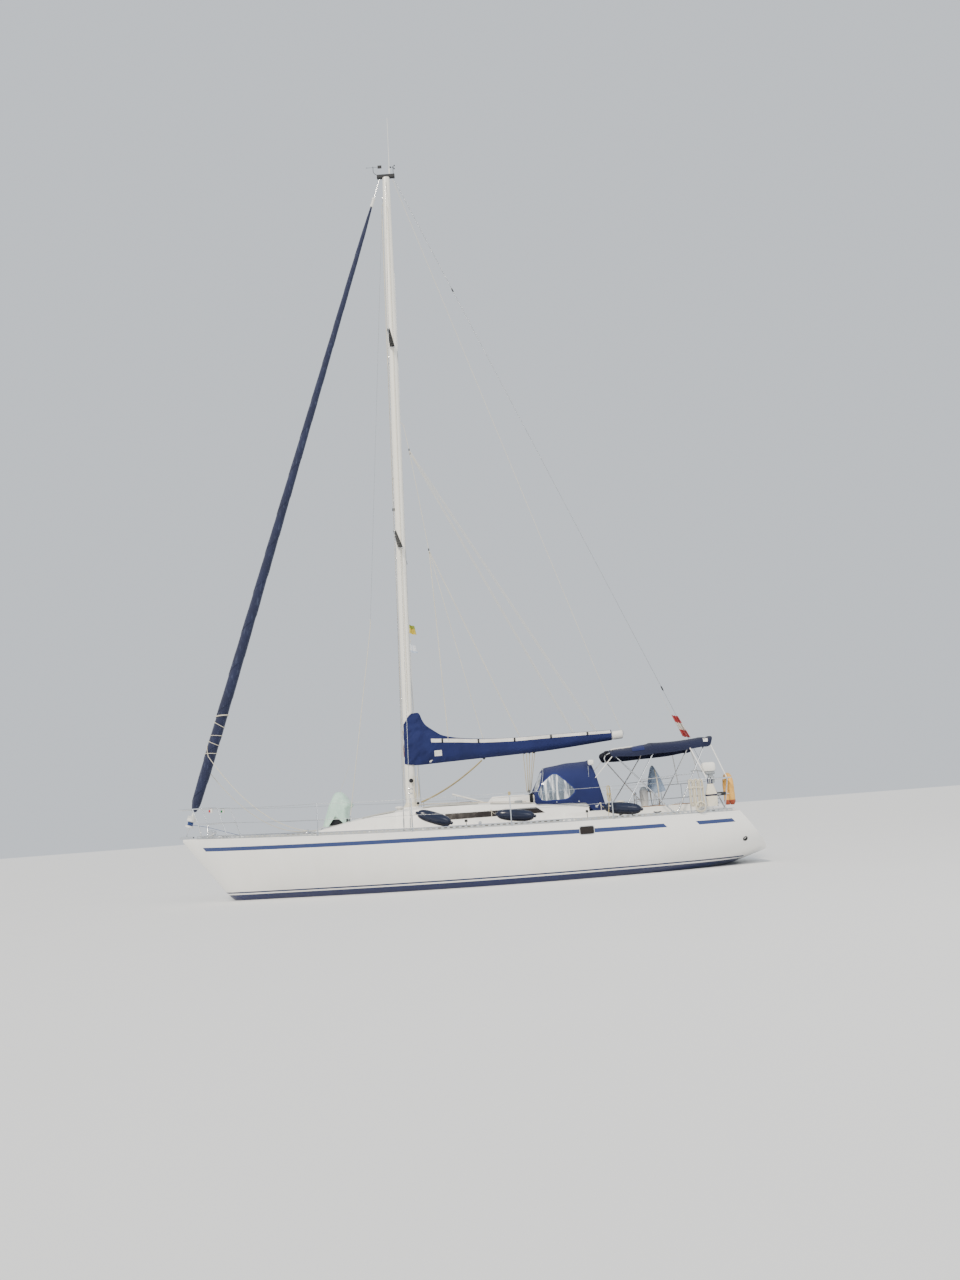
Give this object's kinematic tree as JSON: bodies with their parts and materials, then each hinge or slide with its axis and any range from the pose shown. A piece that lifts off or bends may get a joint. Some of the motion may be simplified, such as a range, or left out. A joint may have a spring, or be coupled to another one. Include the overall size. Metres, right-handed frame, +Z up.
{
  "type": "sailing yacht",
  "caption": "Cruising sloop afloat with her sails stowed: swinging boom, steering wheel coupled to a spade rudder, fin keel, sliding hatch, dodger and bimini.",
  "frame": {"origin": "on the centreline at the waterline, near amidships", "axes": "+X towards the bow, +Y to port, +Z up the rig"},
  "size_m": [12.3186, 3.8634, 20.4101],
  "materials": {
    "hull_gelcoat": "polished warm white gelcoat with a dark blue stripe and boot top",
    "deck_gelcoat": "white gelcoat, satin",
    "dark_acrylic": "dark smoked acrylic, polished",
    "antifouling": "navy antifouling paint, matt",
    "bronze": "cast bronze, dull",
    "engine_paint": "enamelled iron",
    "mast_paint": "cream-white paint on aluminium, satin",
    "black_alloy": "black anodised aluminium",
    "anodised_alloy": "silver anodised aluminium, satin",
    "stainless": "polished stainless steel",
    "navy_canvas": "navy acrylic canvas, plain weave",
    "dark_canvas": "very dark blue acrylic canvas, plain weave",
    "mint_nylon": "pale mint spinnaker nylon",
    "navy_vinyl": "inflated navy vinyl, glossy",
    "buoy_fabric": "yellow-orange coated cloth over foam",
    "white_plastic": "moulded white plastic",
    "cream_vinyl": "cream coated cloth bag",
    "rope": "braided polyester rope, off-white"
  },
  "bodies": {
    "yacht": {"hull": "hull_gelcoat", "deck": "deck_gelcoat", "window_port": "dark_acrylic", "window_starboard": "dark_acrylic", "keel": "antifouling", "propeller_strut": "bronze", "engine_block": "engine_paint", "mast": "mast_paint", "masthead_crane": "mast_paint", "aerial": "white_plastic", "spreader_lower_port": "black_alloy", "spreader_lower_starboard": "black_alloy", "spreader_upper_port": "black_alloy", "spreader_upper_starboard": "black_alloy", "cap_shroud_port": "stainless", "cap_shroud_starboard": "stainless", "lower_shroud_port": "stainless", "lower_shroud_starboard": "stainless", "backstay": "stainless", "furling_drum": "white_plastic", "furled_genoa": "navy_canvas", "furling_swivel": "white_plastic", "gooseneck": "anodised_alloy", "mast_cover": "navy_canvas", "dodger": "navy_canvas", "bimini": "dark_canvas", "bimini_bow_forward": "stainless", "bimini_bow_middle": "stainless", "bimini_bow_after": "stainless", "toe_rail_port": "anodised_alloy", "toe_rail_starboard": "anodised_alloy", "pulpit": "stainless", "pushpit": "stainless", "stem_fitting": "stainless", "hatch_garage": "deck_gelcoat", "washboard": "dark_acrylic", "wind_scoop": "mint_nylon", "pedestal": "white_plastic", "winch_port": "stainless", "winch_starboard": "stainless", "fender_forward": "navy_vinyl", "fender_middle": "navy_vinyl", "fender_after": "navy_vinyl", "lifebuoy": "buoy_fabric", "outboard_motor": "white_plastic", "rescue_bag": "cream_vinyl", "coiled_ropes": "rope", "genoa_sheet_port": "rope", "genoa_sheet_starboard": "rope"},
    "boom": {"boom": "mast_paint", "boom_cover": "navy_canvas"},
    "rudder": {"rudder": "antifouling"},
    "wheel": {"steering_wheel": "stainless"},
    "propeller": {"propeller": "bronze"},
    "sliding_hatch": {"sliding_hatch": "deck_gelcoat"},
    "fore_hatch": {"fore_hatch": "dark_acrylic"},
    "wind_vane": {"wind_vane": "black_alloy"},
    "anemometer": {"anemometer": "black_alloy"}
  },
  "joints": [
    {"name": "boom_swing", "type": "hinge", "parent": "yacht", "child": "boom", "pos_m": [1.55, 0, 2.64], "axis": [-0.0219, 0, 0.9998], "range_deg": [-70, 70]},
    {"name": "rudder_turn", "type": "hinge", "parent": "yacht", "child": "rudder", "pos_m": [-4.3, 0, -0.5], "axis": [0, 0, 1], "range_deg": [-35, 35]},
    {"name": "wheel_turn", "type": "hinge", "parent": "yacht", "child": "wheel", "pos_m": [-3.48, 0, 1.6], "axis": [1, 0, 0], "range_deg": [-315, 315]},
    {"name": "propeller_spin", "type": "hinge", "parent": "yacht", "child": "propeller", "pos_m": [-2.96, 0, -0.7], "axis": [0.9824, 0, 0.1867], "continuous": true},
    {"name": "hatch_slide", "type": "slide", "parent": "yacht", "child": "sliding_hatch", "axis": [1, 0, 0], "range_m": [0, 0.6]},
    {"name": "fore_hatch_swing", "type": "hinge", "parent": "yacht", "child": "fore_hatch", "pos_m": [3.13, 0, 1.52], "axis": [0, 1, 0], "range_deg": [0, 50]},
    {"name": "wind_vane_spin", "type": "hinge", "parent": "yacht", "child": "wind_vane", "pos_m": [1.72, 0, 17.06], "axis": [0, 0, 1], "continuous": true},
    {"name": "anemometer_spin", "type": "hinge", "parent": "yacht", "child": "anemometer", "pos_m": [1.235, 0, 17.03], "axis": [0, 0, 1], "continuous": true}
  ],
  "couplings": [
    {"joint": "wheel_turn", "follows": "rudder_turn", "ratio": 9}
  ]
}
